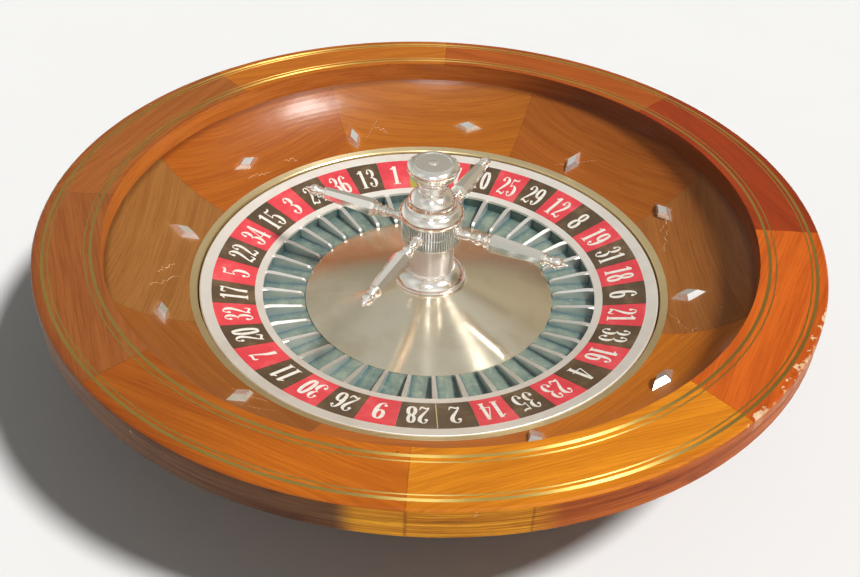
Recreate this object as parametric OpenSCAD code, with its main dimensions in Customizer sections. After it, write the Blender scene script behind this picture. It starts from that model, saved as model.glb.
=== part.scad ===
/* [Bowl] */
// Outer diameter of the rim
rim_d = 813; // [806:1:820]
// Diameter of the mouth inside the rim
mouth_d = 680; // [676:1:684]
// Height of the number ring's outer edge above the table
ring_z = 92; // [90:1:98]
// Height of the rim's top above the number ring
rim_rise = 83; // [81:1:88]
// Thickness of the rim's top board
rim_t = 13; // [12:1:14]
// Depth of the skirt under the top board
skirt_h = 21.2; // [15:0.2:24]
// Depth of the upright wall around the ball track
wall_h = 23; // [20:1:25]
// Thickness of the veneers on the apron and the wall
veneer_t = 1.5; // [1:0.5:2]
// Number of staves around the bowl
staves = 32; // [24:8:40]
// Width of the broad brass lines in the rim
inlay_broad = 3.2; // [2.4:0.2:4]
// Width of the fine brass lines in the rim
inlay_fine = 1.4; // [1:0.2:1.8]

/* [Deflectors] */
// Length of a deflector
deflector_l = 40; // [34:1:42]
// Width of a deflector
deflector_w = 18; // [14:1:20]
// Height of a deflector above the apron
deflector_h = 6; // [4:0.5:7]
// Direction of the first deflector, clockwise from the back
deflector_turn = 8.4; // [0:0.1:29]

/* [Rotor] */
// Outer diameter of the number ring
ring_d = 499.6; // [496:0.2:500.4]
// Inner and outer diameter of the coloured number band
band_in_d = 383; // [380:1:388]
band_out_d = 474.2; // [470:0.2:478]
// Diameter of the metal cone
cone_d = 274; // [270:1:275]
// Number of pockets
pockets = 37; // [36:1:38]
// Width of a fret at its outer and at its inner end
fret_out_w = 5.8; // [4:0.1:6.5]
fret_in_w = 3.4; // [2.5:0.1:4]
// Direction of the zero pocket, clockwise from the back
rotor_turn = -3.1; // [-180:0.1:180]

/* [Turret] */
// Diameter of the turret's foot
foot_d = 81; // [78:1:82]
// Diameter of the column
column_d = 51.4; // [50:0.2:52]
// Diameter of the reeded collar that holds the arms
collar_d = 65; // [64:0.5:66]
// Number of reeds around the collar
reeds = 72; // [60:1:84]
// Radius at which the arms end
arm_reach = 155; // [150:1:158]
// Direction of the first arm, clockwise from the back
arm_turn = 24.6; // [0:0.1:89]

/* [Hidden] */
$fn = 96;

wood = [0.62, 0.33, 0.12];
dark_wood = [0.40, 0.21, 0.09];
brass = [0.76, 0.60, 0.22];
silver = [0.80, 0.78, 0.74];
steel = [0.62, 0.63, 0.65];
fit = 0.05;

// Heights from the table up
z_foot = 10;
z_board = z_foot + 18;
z_flange = z_board + 6;
z_hub = z_flange + 3;
z_disc = z_hub + 5;
z_tray = z_disc + 20;
z_floor = z_tray + 3;
z_seat = ring_z - 14;
z_rim = ring_z + rim_rise;
z_skirt_top = z_rim - rim_t;
z_track = z_rim - wall_h;
z_cone = ring_z - 1.2;

// Radii of the bowl
mouth_r = mouth_d / 2;
rim_r = rim_d / 2;
stator_in_r = 251.5;
stator_out_r = 259.3;
glue = 0.04;
joint_gap = 0.007;
frame_foot_z = z_track - veneer_t;
skirt_in_r = rim_r - 26.5;
drum_r = 278;
drum_in_r = 256;
ledge_r = 244;
inlay_depth = 1.2;
boards = 8;
rim_joint = 1.75;
stave_joint = 21.6;
pin_depth = 4;

// The apron's hollow curve, in section from the stator ring to the foot of the wall
apron_low = [stator_out_r, ring_z + 6.8];
apron_high = [mouth_r, z_track];
apron_turn = 15.8;
apron_steps = 16;

// Radii and slope of the rotor's number ring
ring_in_r = 183.2;
band_in_r = band_in_d / 2;
band_out_r = band_out_d / 2;
ring_slope = 0.2465;
ring_t = 3;
plate_t = 0.5;
plate_gap = 0.08;
rotor_in_r = 186;
seg = 360 / pockets;

// Which pockets are red, clockwise from the zero, in the order of the numbers around the ring
numbers = [0, 27, 10, 25, 29, 12, 8, 19, 31, 18, 6, 21, 33, 16, 4, 23, 35, 14, 2,
    28, 9, 26, 30, 11, 7, 20, 32, 17, 5, 22, 34, 15, 3, 24, 36, 13, 1];
red_numbers = [1, 3, 5, 7, 9, 12, 14, 16, 18, 19, 21, 23, 25, 27, 30, 32, 34, 36];

// Hub, spindle and ball bearings of 15 x 32 x 9 mm
shaft_r = 7.5;
bearing_r = 16;
bearing_w = 9;
ball_r = 2.38;
ball_path_r = 11.75;
balls = 9;
race_play = 0.06;
hub_r = 20;
z_upper_bearing = ring_z + 26;
stud_r = 5;

// Heights of the turret's joints above the number ring
z_column = 14.5;
z_collar = 51;
z_dome = 79.6;
z_knob = 111.2;
arm_z = ring_z + 66;

function polar(r, a) = r * [cos(a), sin(a)];

// Points of an arc from p to q whose direction turns by twice the given angle
function arc(p, q, turn, steps) =
    let (chord = q - p,
        lean = atan2(chord[1], chord[0]),
        r = norm(chord) / 2 / sin(turn),
        centre = p + polar(r, lean - turn + 90))
    [for (i = [0:steps]) centre + polar(r, lean - turn - 90 + 2 * turn * i / steps)];

function shift(points, dz) = [for (p = points) p + [0, dz]];
function reverse(points) = [for (i = [len(points) - 1:-1:0]) points[i]];
function ring_top(r) = ring_z + ring_slope * (r - band_out_r);

apron_arc = arc(apron_low, apron_high, apron_turn, apron_steps);

module lathe(points) rotate_extrude() polygon(points);

module tube(r_in, r_out, z_low, z_high)
    lathe([[r_in, z_low], [r_out, z_low], [r_out, z_high], [r_in, z_high]]);

// Places its children on a circle, the first one at the given direction clockwise from the back
module around(count, turn, r = 0)
    for (i = [0:count - 1]) at(turn + i * 360 / count, r) children();

module at(turn, r = 0) rotate([0, 0, 90 - turn]) translate([r, 0, 0]) children();

// A turned ring glued up from segments, with the first joint at the given direction
module segments(count, joint, points)
    for (i = [1:count])
        at(joint + i * 360 / count) rotate_extrude(angle = 360 / count - joint_gap) polygon(points);

// A countersunk screw with its head's face at z 0 and its shank pointing up
module screw(head_r, shank_r, length) {
    cylinder(r1 = head_r, r2 = shank_r, h = head_r - shank_r);
    cylinder(r = shank_r, h = length);
}

// ---- Bowl ----

module bowl_body() color(dark_wood) difference() {
    segments(staves, stave_joint, concat(
        [[stator_out_r, z_seat]],
        shift(apron_arc, -veneer_t),
        [[skirt_in_r, frame_foot_z]],
        reverse(arc([drum_r, z_seat], [skirt_in_r, frame_foot_z - 10], 9, 8))));
    for (i = [1:12]) on_apron(i) pin(fit);
}

// The upright ring on the bowl's edge that backs the wall and carries the rim
module rim_frame() color(dark_wood) segments(staves, stave_joint + 180 / staves, [
    [mouth_r + veneer_t, frame_foot_z + glue], [skirt_in_r, frame_foot_z + glue],
    [skirt_in_r, z_skirt_top], [mouth_r + veneer_t, z_skirt_top]]);

module apron() color(wood) difference() {
    lathe(concat(apron_arc, reverse(shift(apron_arc, -veneer_t))));
    for (i = [1:12]) on_apron(i) pin(fit);
}

module track_wall() color(wood)
    tube(mouth_r, mouth_r + veneer_t, frame_foot_z, z_rim - veneer_t);

// Eight mitred boards under a veneer that laps over the wall's edge
module rim_top() color(wood) difference() {
    segments(boards, rim_joint, concat(
        [[mouth_r, z_rim], [mouth_r, z_rim - veneer_t], [mouth_r + veneer_t, z_rim - veneer_t],
            [mouth_r + veneer_t, z_skirt_top], [rim_r, z_skirt_top]],
        [for (a = [0:15:90]) [rim_r - 3, z_rim - 3] + polar(3, a)]));
    for (i = [0:3]) inlay(i, 1);
}

// The brass lines' middle radii, from the outside in, and which of them are fine
inlay_r = [rim_r - 10.9, rim_r - 16.1, mouth_r + 15.7, mouth_r + 9.5];
fine_line = [false, true, true, false];

module inlay(i, extra = 0) {
    half = (fine_line[i] ? inlay_fine : inlay_broad) / 2;
    color(brass) tube(inlay_r[i] - half, inlay_r[i] + half, z_rim - inlay_depth, z_rim + extra);
}

module rim_skirt() color(dark_wood) lathe([
    [skirt_in_r, z_skirt_top - skirt_h], [rim_r - 3, z_skirt_top - skirt_h],
    [rim_r - 0.5, z_skirt_top - skirt_h + 2.5], [rim_r - 0.5, z_skirt_top - 1],
    [rim_r - 1.5, z_skirt_top], [skirt_in_r, z_skirt_top]]);

module stator_ring() color(brass) lathe([
    [stator_in_r, z_seat], [stator_out_r, z_seat], [stator_out_r, ring_z + 6.8],
    [stator_in_r + 1, ring_z + 5], [stator_in_r, ring_z + 4.2]]);

module base_drum() color(dark_wood) difference() {
    segments(staves, 180 / staves, concat(
        [[ledge_r, z_board], [drum_in_r, z_board], [drum_in_r, z_foot], [drum_r + 8, z_foot],
            [drum_r + 8, z_foot + 10]],
        reverse(arc([drum_r, z_foot + 18], [drum_r + 8, z_foot + 10], -40, 6)),
        [[drum_r, z_seat], [drum_in_r, z_seat], [drum_in_r, z_board + 8], [ledge_r, z_board + 8]]));
    base_screw_set(fit);
}

module base_board() color([0.70, 0.55, 0.36]) difference() {
    tube(shaft_r + 6, drum_in_r, z_foot, z_board);
    base_screw_set(fit);
    spindle_bolt_set(fit);
    for (i = [1:3]) foot_place(i) cylinder(r = 4 + fit, h = 12);
}

module base_screw_set(play = 0)
    around(8, 10, 250) translate([0, 0, z_foot]) screw(4.2 + play, 2.1 + play, 24 + play);

module base_screws() color(brass) base_screw_set();

module foot_place(i) at(i * 120, 228) translate([0, 0, z_foot]) children();

// A rubber foot with the stem that holds it in the base board
module foot(i) color([0.10, 0.10, 0.10]) foot_place(i) lathe([
    [0, -z_foot], [15, -z_foot], [17, 2 - z_foot], [19, 0], [4, 0], [4, 11], [0, 11]]);

// ---- Deflectors: odd ones lie along the ring, even ones point down the apron ----

module on_apron(i) {
    upright = i % 2 == 0;
    r = upright ? stator_out_r + deflector_l / 2 + 0.5 : stator_out_r + 32;
    z = lookup(r, apron_arc);
    slope = atan((lookup(r + 4, apron_arc) - lookup(r - 4, apron_arc)) / 8);
    at(deflector_turn + (i - 1) * 30, r) translate([0, 0, z])
        rotate([0, -slope, 0]) rotate([0, 0, upright ? 0 : 90]) children();
}

module pin(play = 0)
    translate([0, 0, -pin_depth - play]) cylinder(r = 1.5 + play, h = pin_depth + 3 + 2 * play);

// Corners of a deflector's diamond outline, which narrows steadily with its height over the apron
function diamond(z) = let (k = (1 - 0.075 * z) / 2)
    [[k * deflector_l, 0, z], [0, k * deflector_w, z], [-k * deflector_l, 0, z], [0, -k * deflector_w, z]];

module deflector(i) color(silver) difference() {
    on_apron(i) difference() {
        polyhedron(
            concat(diamond(-3), diamond(deflector_h)),
            [[0, 1, 2, 3], [7, 6, 5, 4], [1, 0, 4, 5], [2, 1, 5, 6], [3, 2, 6, 7], [0, 3, 7, 4]]);
        pin(fit);
    }
    lathe(concat(shift(apron_arc, fit), [[mouth_r, ring_z - 30], [stator_in_r - 4, ring_z - 30],
        [stator_in_r - 4, ring_z + 4.5]]), $fn = 360);
}

module deflector_pins() color(brass) for (i = [1:12]) on_apron(i) pin();

// ---- Spindle and bearings ----

module spindle() color(steel) difference() {
    lathe([[0, z_board - 10], [shaft_r + 5.5, z_board - 10], [shaft_r + 5.5, z_board], [42, z_board],
        [42, z_flange], [shaft_r + 1.5, z_flange], [shaft_r + 1.5, z_disc],
        [shaft_r - 0.02, z_disc], [shaft_r - 0.02, z_upper_bearing + bearing_w],
        [shaft_r - 1, z_upper_bearing + bearing_w], [shaft_r - 1, z_upper_bearing + bearing_w + 9],
        [0, z_upper_bearing + bearing_w + 10]]);
    spindle_bolt_set(fit);
}

module spindle_bolt_set(play = 0)
    around(6, 30, 30) translate([0, 0, z_flange]) mirror([0, 0, 1]) screw(5.5 + play, 3 + play, 20 + play);

module spindle_bolts() color(steel) spindle_bolt_set();

module spindle_nut() color(steel) translate([0, 0, z_upper_bearing + bearing_w]) difference() {
    cylinder(r = 11, h = 7, $fn = 6);
    translate([0, 0, -1]) cylinder(r = shaft_r - 1 + fit, h = 9);
}

module ball_groove() translate([ball_path_r, bearing_w / 2]) circle(r = ball_r + race_play);

module inner_race(z) color(steel) translate([0, 0, z]) rotate_extrude() difference() {
    translate([shaft_r, 0]) square([2.2, bearing_w]);
    ball_groove();
}

module outer_race(z) color(steel) translate([0, 0, z]) rotate_extrude() difference() {
    translate([bearing_r - 2.2, 0]) square([2.18, bearing_w]);
    ball_groove();
}

// Nine balls and the brass cage that spaces them
module ball_set(z) translate([0, 0, z + bearing_w / 2]) {
    color(steel) around(balls, 0, ball_path_r) sphere(r = ball_r, $fn = 24);
    color(brass) difference() {
        tube(ball_path_r - 1, ball_path_r + 1, -3.4, 3.4);
        around(balls, 0, ball_path_r) rotate([0, 90, 0]) cylinder(r = ball_r + fit, h = 4, center = true);
    }
}

// ---- Rotor ----

module rotor_hub() color(brass) difference() {
    lathe([[12, z_hub], [45, z_hub], [45, z_disc], [hub_r, z_disc], [hub_r, ring_z + 44],
        [13.5, ring_z + 44], [13.5, z_upper_bearing + bearing_w],
        [bearing_r, z_upper_bearing + bearing_w], [bearing_r, z_disc], [12, z_disc]]);
    hub_screw_set(fit);
}

module hub_screw_set(play = 0)
    around(6, 0, 33) translate([0, 0, z_hub]) screw(5 + play, 2.5 + play, 17 + play);

module hub_screws() color(steel) hub_screw_set();

module rotor_disc() color(wood) difference() {
    tube(hub_r + fit, 246, z_disc, z_tray);
    hub_screw_set(fit);
}

module rotor_rim() color(wood) lathe([
    [rotor_in_r, z_tray], [248, z_tray], [248, ring_top(248) - ring_t],
    [rotor_in_r, ring_top(rotor_in_r) - ring_t]]);

module pocket_floor() color([0.20, 0.38, 0.33]) tube(130, rotor_in_r, z_tray, z_floor);

module pocket_wall() color([0.20, 0.38, 0.33]) lathe([
    [ring_in_r, z_floor], [rotor_in_r, z_floor], [rotor_in_r, ring_top(rotor_in_r) - ring_t],
    [ring_in_r, ring_top(ring_in_r) - ring_t]]);

// A blade between two pockets: a tapered plan, the side view with its rounded inner end, and a domed back
module fret() {
    foot_r = cone_d / 2 + 1.4;
    end_r = ring_in_r - 0.1;
    top = ring_top(ring_in_r) - 0.9;
    dome_h = 1.9;
    half = fret_out_w / 2 + fit;
    intersection() {
        translate([foot_r - 1, 0, 0]) rotate([90, 0, 90]) linear_extrude(end_r - foot_r + 2) polygon(concat(
            [[-half, z_floor - 1], [half, z_floor - 1]],
            [for (a = [0:20:180]) [half * cos(a), top - dome_h + dome_h * sin(a)]]));
        translate([0, 0, z_floor]) linear_extrude(20) polygon([
            [foot_r, -fret_in_w / 2], [end_r, -fret_out_w / 2],
            [end_r, fret_out_w / 2], [foot_r, fret_in_w / 2]]);
        rotate([90, 0, 0]) linear_extrude(10, center = true) polygon(concat(
            [[end_r, z_floor], [end_r, top]],
            [for (a = [100:16:180]) [foot_r + 7, top - 12] + [7 * cos(a), 5.5 * sin(a)]],
            [[foot_r, z_floor]]));
    }
}

module frets() color(silver) around(pockets, rotor_turn + seg / 2) fret();

module number_ring() color(silver) lathe([
    [ring_in_r, ring_top(ring_in_r) - ring_t], [248, ring_top(248) - ring_t],
    [248, ring_top(248) - 8], [ring_d / 2, ring_top(248) - 8],
    [ring_d / 2, ring_top(ring_d / 2) - 1.2], [ring_d / 2 - 1.2, ring_top(ring_d / 2 - 1.2)],
    [band_out_r, ring_z], [band_out_r, ring_z - plate_t],
    [band_in_r, ring_top(band_in_r) - plate_t], [band_in_r, ring_top(band_in_r)],
    [ring_in_r, ring_top(ring_in_r)]]);

// The coloured plate of the given pocket, let into the number ring
module plate(i) {
    at(rotor_turn + (i + 0.5) * seg - plate_gap / 2) rotate_extrude(angle = seg - plate_gap) polygon([
        [band_in_r + fit, ring_top(band_in_r) - plate_t + 0.01], [band_out_r - fit, ring_z - plate_t + 0.01],
        [band_out_r - fit, ring_z], [band_in_r + fit, ring_top(band_in_r)]]);
}

function is_red(i) = len(search(numbers[i % len(numbers)], red_numbers)) > 0;

module plates_red() color([0.85, 0.13, 0.22]) for (i = [1:pockets - 1]) if (is_red(i)) plate(i);
module plates_black() color([0.12, 0.11, 0.07]) for (i = [1:pockets - 1]) if (!is_red(i)) plate(i);
module plate_zero() color([0.12, 0.45, 0.16]) plate(0);

module cone() color(silver) lathe([
    [hub_r + fit, z_cone - 1.8], [40, z_cone - 1.8], [cone_d / 2 - 2, z_floor], [cone_d / 2, z_floor],
    [cone_d / 2, z_floor + 1.2], [42, z_cone], [hub_r + fit, z_cone]]);

// ---- Turret ----

module turret_base() color(silver) {
    r = foot_d / 2;
    translate([0, 0, ring_z]) lathe(concat(
        [[hub_r + fit, -1.2], [r, -1.2], [r, 1.3]],
        arc([r - 0.1, 1.7], [r - 1.2, 2.7], 30, 4),
        [[r - 2.6, 2.8], [r - 2.9, 3.5], [r - 2.5, 4.4]],
        arc([r - 2.6, 4.8], [r - 12.6, 12.7], 20, 8),
        [[r - 13.9, 12.9], [r - 14, z_column], [hub_r + fit, z_column]]));
}

module turret_column() color(silver) tube(hub_r + fit, column_d / 2, ring_z + z_column, ring_z + z_collar);

// Outline of a disc whose edge is cut into flat reeds with narrow grooves between them
function reeded(r, count, depth) = [for (i = [0:count - 1], k = [0:3])
    polar(r - [0, 0, depth, depth][k], (i + [0, 0.58, 0.67, 0.91][k]) * 360 / count)];

module turret_collar() color(silver) difference() {
    r = collar_d / 2;
    union() {
        translate([0, 0, ring_z]) lathe([[0, z_collar - 5], [hub_r - 0.5, z_collar - 5],
            [hub_r - 0.5, z_collar], [r - 1.6, z_collar], [r - 0.6, z_collar + 0.8],
            [r - 1.2, z_collar + 1.6], [r - 1.2, 77.6], [r - 0.3, 78.1], [r - 0.1, 78.7],
            [r - 0.5, 79.2], [r - 1.2, z_dome], [0, z_dome]]);
        for (z = [52.6, 66.6])
            translate([0, 0, ring_z + z]) linear_extrude(z < 60 ? 12.8 : 11) polygon(reeded(r, reeds, 1));
    }
    translate([0, 0, ring_z + 40]) cylinder(r = stud_r + fit, h = 42);
    for (i = [1:4]) arm_place(i) {
        cylinder(r = 3 + fit, h = 40);
        translate([0, 0, 30]) cylinder(r = 6.4 + fit, h = 10);
    }
}

// The arm's own axis runs outward as local z, starting on the wheel's axis
module arm_place(i) at(arm_turn + (i - 1) * 90) translate([0, 0, arm_z]) rotate([0, 90, 0])
    rotate([0, 0, 22.5]) children();

module arm(i) color(silver) arm_place(i) {
    bar_start = 67;
    bar_end = arm_reach - 28;
    lathe(concat(
        [[0, 20], [3, 20], [3, 30], [6.3, 30], [6.3, 34.5], [5.6, 35.5]],
        reverse(arc([3.6, 46], [5.4, 36.5], -16, 5)),
        [[3.8, 49], [5, 49.6], [5, 51], [4.2, 51.8]],
        [for (a = [-60:20:60]) [4, 55.6] + [3 * cos(a), 3.8 * sin(a)]],
        [[4.4, 60], [4.4, 61], [6.6, 62], [7.4, 63.6], [6.8, 65.4], [5.4, bar_start], [0, bar_start]]));
    translate([0, 0, bar_start]) cylinder(r1 = 8, r2 = 10.2, h = 3.4, $fn = 8);
    translate([0, 0, bar_start + 3.4]) cylinder(r1 = 10.2, r2 = 7.2, h = bar_end - bar_start - 3.4, $fn = 8);
    translate([0, 0, bar_end]) lathe(concat(
        [[0, 0], [5.2, 0], [6.4, 1.2], [6.9, 2.8], [6.4, 4.4], [4.6, 5.6], [3.8, 6.8], [3.8, 8],
            [5.2, 8.8], [5.6, 9.8], [5.2, 10.8]],
        [for (a = [-40:20:60]) [0, 16.5] + [6.6 * cos(a), 6.4 * sin(a)]],
        [[2.4, 23.6], [1.7, 26], [0.9, 27.6], [0, 28]]));
}

module turret_dome() color(silver) translate([0, 0, ring_z]) lathe(concat(
    [[stud_r + fit, z_dome], [33.1, z_dome], [34.1, 80.5]],
    arc([34.7, 82.2], [28.8, 91.4], 27, 8),
    [[26.9, 92]],
    reverse(arc([24.3, 97.6], [26.2, 92.5], 16, 4)),
    [[24.9, 98.2], [25.1, 99.8], [24.7, 101.2]],
    arc([24.1, 101.9], [15.2, 110.6], 23, 8),
    [[14.7, z_knob], [stud_r + fit, z_knob]]));

module turret_knob() color(silver) translate([0, 0, ring_z]) lathe(concat(
    [[0, 60], [stud_r, 60], [stud_r, z_knob], [14.4, z_knob], [14.8, 112.2], [14.2, 113.1]],
    reverse(arc([15.8, 118.6], [14, 113.8], 9, 4)),
    [[17.2, 119.5], [17.8, 120.8], [17.3, 122.2]],
    arc([17.9, 123], [26.8, 135.4], 16, 7),
    arc([26.9, 135.8], [27.1, 140], 20, 4),
    arc([26.8, 140.8], [19.6, 144.3], 24, 5),
    [[18.8, 144.3], [18.4, 143.7]],
    [[4.6, 143.7], [4.3, 144.5], [3, 145], [0, 145.1]]));

bowl_body();
rim_frame();
apron();
track_wall();
rim_top();
rim_skirt();
inlay(0);  // inlay_outer_broad
inlay(1);  // inlay_outer_fine
inlay(2);  // inlay_inner_fine
inlay(3);  // inlay_inner_broad
stator_ring();
base_drum();
base_board();
base_screws();
foot(1);  // foot_1
foot(2);  // foot_2
foot(3);  // foot_3
deflector(1);  // deflector_01
deflector(2);  // deflector_02
deflector(3);  // deflector_03
deflector(4);  // deflector_04
deflector(5);  // deflector_05
deflector(6);  // deflector_06
deflector(7);  // deflector_07
deflector(8);  // deflector_08
deflector(9);  // deflector_09
deflector(10);  // deflector_10
deflector(11);  // deflector_11
deflector(12);  // deflector_12
deflector_pins();
spindle();
spindle_bolts();
spindle_nut();
inner_race(z_disc);  // lower_inner_race
inner_race(z_upper_bearing);  // upper_inner_race
ball_set(z_disc);  // lower_ball_set
ball_set(z_upper_bearing);  // upper_ball_set
outer_race(z_disc);  // lower_outer_race
outer_race(z_upper_bearing);  // upper_outer_race
rotor_hub();
hub_screws();
rotor_disc();
rotor_rim();
pocket_floor();
pocket_wall();
frets();
number_ring();
plates_red();
plates_black();
plate_zero();
cone();
turret_base();
turret_column();
turret_collar();
arm(1);  // arm_1
arm(2);  // arm_2
arm(3);  // arm_3
arm(4);  // arm_4
turret_dome();
turret_knob();
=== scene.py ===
import math
import random

import bmesh
import bpy
from mathutils import Euler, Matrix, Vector


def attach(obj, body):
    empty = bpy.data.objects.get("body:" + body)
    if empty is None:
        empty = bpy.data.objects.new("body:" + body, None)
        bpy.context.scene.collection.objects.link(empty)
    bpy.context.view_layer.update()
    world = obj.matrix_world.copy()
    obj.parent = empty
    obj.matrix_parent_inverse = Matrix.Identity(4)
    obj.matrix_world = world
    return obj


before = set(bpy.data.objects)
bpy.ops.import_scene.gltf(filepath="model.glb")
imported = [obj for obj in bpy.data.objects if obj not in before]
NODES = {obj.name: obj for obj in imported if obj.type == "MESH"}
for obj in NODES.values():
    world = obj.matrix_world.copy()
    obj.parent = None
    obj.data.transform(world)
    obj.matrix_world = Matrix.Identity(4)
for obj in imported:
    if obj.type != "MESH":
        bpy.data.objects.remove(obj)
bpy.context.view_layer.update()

MM = 0.001

# Main sizes of the wheel, in millimetres, as the CAD model has them
RING_Z = 92.0
RIM_R = 406.5
MOUTH_R = 340.0
RIM_Z = RING_Z + 83.0
WALL_H = 23.0
APRON_FOOT_R = 259.3
APRON_FOOT_Z = RING_Z + 6.8
BAND_OUT_R = 237.1
BAND_SLOPE = 0.2465

# Directions in degrees, clockwise from the back as seen from above
ROTOR_TURN = -3.1
DEFLECTOR_TURN = 8.4
DEFLECTOR_STEP = 30.0
RIM_JOINT = 1.75
APRON_JOINT = 21.6

# The pockets in their order, clockwise from the zero
NUMBERS = [0, 27, 10, 25, 29, 12, 8, 19, 31, 18, 6, 21, 33, 16, 4, 23, 35, 14, 2,
           28, 9, 26, 30, 11, 7, 20, 32, 17, 5, 22, 34, 15, 3, 24, 36, 13, 1]
SEG = 360.0 / len(NUMBERS)


# ---------------------------------------------------------------- shader helpers

class Nodes:
    """Short calls for building a node tree; a value may be a number, a colour or a socket."""

    def __init__(self, tree):
        self.tree = tree
        self.tree.nodes.clear()

    def new(self, kind, **props):
        node = self.tree.nodes.new(kind)
        for key, value in props.items():
            setattr(node, key, value)
        return node

    def put(self, value, socket):
        if isinstance(value, bpy.types.NodeSocket):
            self.tree.links.new(value, socket)
        elif isinstance(value, (tuple, list)) and len(value) == 3 and socket.type == "RGBA":
            socket.default_value = (*value, 1.0)
        else:
            socket.default_value = value

    def math(self, op, a, b=0.0, c=0.0):
        node = self.new("ShaderNodeMath", operation=op)
        for value, socket in zip((a, b, c), node.inputs):
            self.put(value, socket)
        return node.outputs[0]

    def add(self, a, b):
        return self.math("ADD", a, b)

    def sub(self, a, b):
        return self.math("SUBTRACT", a, b)

    def mul(self, a, b):
        return self.math("MULTIPLY", a, b)

    def top(self, a, b):
        """The larger of two values."""
        return self.math("MAXIMUM", a, b)

    def xyz(self, vector):
        node = self.new("ShaderNodeSeparateXYZ")
        self.put(vector, node.inputs[0])
        return node.outputs[0], node.outputs[1], node.outputs[2]

    def vec(self, x, y, z):
        node = self.new("ShaderNodeCombineXYZ")
        for value, socket in zip((x, y, z), node.inputs):
            self.put(value, socket)
        return node.outputs[0]

    def scaled(self, vector, sx, sy, sz):
        node = self.new("ShaderNodeVectorMath", operation="MULTIPLY")
        self.put(vector, node.inputs[0])
        node.inputs[1].default_value = (sx, sy, sz)
        return node.outputs[0]

    def noise(self, vector, scale, detail=2.0, rough=0.5, distort=0.0):
        node = self.new("ShaderNodeTexNoise")
        values = {"Vector": vector, "Scale": scale, "Detail": detail, "Roughness": rough,
                  "Distortion": distort}
        for key, value in values.items():
            self.put(value, node.inputs[key])
        return node.outputs["Fac"]

    def cells(self, vector, scale, output="Distance"):
        node = self.new("ShaderNodeTexVoronoi")
        self.put(vector, node.inputs["Vector"])
        node.inputs["Scale"].default_value = scale
        return node.outputs[output]

    def step(self, value, low, high, to_low=0.0, to_high=1.0):
        """Smooth change from to_low to to_high while value goes from low to high."""
        node = self.new("ShaderNodeMapRange", interpolation_type="SMOOTHSTEP")
        for item, socket in zip((value, low, high, to_low, to_high), node.inputs):
            self.put(item, socket)
        return node.outputs[0]

    def ramp(self, value, *stops, flat=False):
        """Colour that runs through the (place, colour) stops, or jumps at each one when flat."""
        node = self.new("ShaderNodeValToRGB")
        node.color_ramp.interpolation = "CONSTANT" if flat else "LINEAR"
        elements = node.color_ramp.elements
        while len(elements) < len(stops):
            elements.new(0.5)
        for element, (place, colour) in zip(elements, stops):
            element.position = place
            element.color = (*colour, 1.0)
        self.put(value, node.inputs[0])
        return node.outputs[0]

    def mix(self, fac, a, b, blend="MIX"):
        node = self.new("ShaderNodeMix", data_type="RGBA", blend_type=blend)
        self.put(fac, node.inputs["Factor"])
        self.put(a, node.inputs[6])
        self.put(b, node.inputs[7])
        return node.outputs[2]

    def times(self, colour, factors, amount=1.0):
        """Colour multiplied by three factors, wherever amount is 1."""
        return self.mix(amount, colour, factors, "MULTIPLY")

    def bump(self, height, strength, distance):
        node = self.new("ShaderNodeBump")
        node.inputs["Strength"].default_value = strength
        node.inputs["Distance"].default_value = distance
        self.put(height, node.inputs["Height"])
        return node.outputs[0]


class Shader(Nodes):
    """A material made of one Principled shader and the patterns that feed it."""

    SOCKETS = {"color": "Base Color", "metal": "Metallic", "rough": "Roughness", "coat": "Coat Weight",
               "coat_rough": "Coat Roughness", "coat_ior": "Coat IOR", "normal": "Normal",
               "coat_normal": "Coat Normal", "aniso": "Anisotropic", "aniso_turn": "Anisotropic Rotation",
               "tangent": "Tangent", "spec": "Specular IOR Level"}

    def __init__(self, name):
        self.mat = bpy.data.materials.new(name)
        self.mat.use_nodes = True
        super().__init__(self.mat.node_tree)
        self.bsdf = self.new("ShaderNodeBsdfPrincipled")
        out = self.new("ShaderNodeOutputMaterial")
        self.tree.links.new(self.bsdf.outputs[0], out.inputs[0])
        self.obj = self.new("ShaderNodeTexCoord").outputs["Object"]
        x, y, self.height = self.xyz(self.obj)
        self.radius = self.math("SQRT", self.add(self.mul(x, x), self.mul(y, y)))
        self.turn = self.mul(self.math("ARCTAN2", x, y), 180 / math.pi)

    def set(self, **values):
        for key, value in values.items():
            self.put(value, self.bsdf.inputs[self.SOCKETS[key]])
        return self.mat

    def within(self, centre, half, soft):
        """1 where the direction is within half degrees of centre, fading over soft degrees."""
        away = self.math("ABSOLUTE", self.math("WRAP", self.sub(self.turn, centre), 180.0, -180.0))
        return self.step(away, half, half + soft, 1.0, 0.0)

    def scratches(self, amount):
        """Thin wandering hairlines in two directions, 0 to 1."""
        lines = []
        for scale, stretch in ((55.0, (0.12, 1.0, 1.0)), (70.0, (1.0, 0.1, 1.0))):
            field = self.noise(self.scaled(self.obj, *stretch), scale, 1.0, 0.5, 0.6)
            ridge = self.math("ABSOLUTE", self.sub(field, 0.5))
            lines.append(self.step(ridge, 0.0, 0.003, 1.0, 0.0))
        patch = self.step(self.noise(self.obj, 14.0, 2.0), 1.0 - amount, 1.1 - amount * 0.6)
        return self.mul(self.top(*lines), patch)

    def specks(self, scale, size, share):
        """Sparse small round marks: 1 inside a mark."""
        pick, _, _ = self.xyz(self.cells(self.obj, scale, "Color"))
        dot = self.step(self.cells(self.obj, scale), size * 0.6, size, 1.0, 0.0)
        return self.mul(dot, self.step(pick, share, share + 0.01, 1.0, 0.0))


def paint(material, *names):
    """Give a material to CAD nodes."""
    for name in names:
        data = NODES[name].data
        data.materials.clear()
        data.materials.append(material)


# ---------------------------------------------------------------- wood

LEAVES = 8


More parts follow.
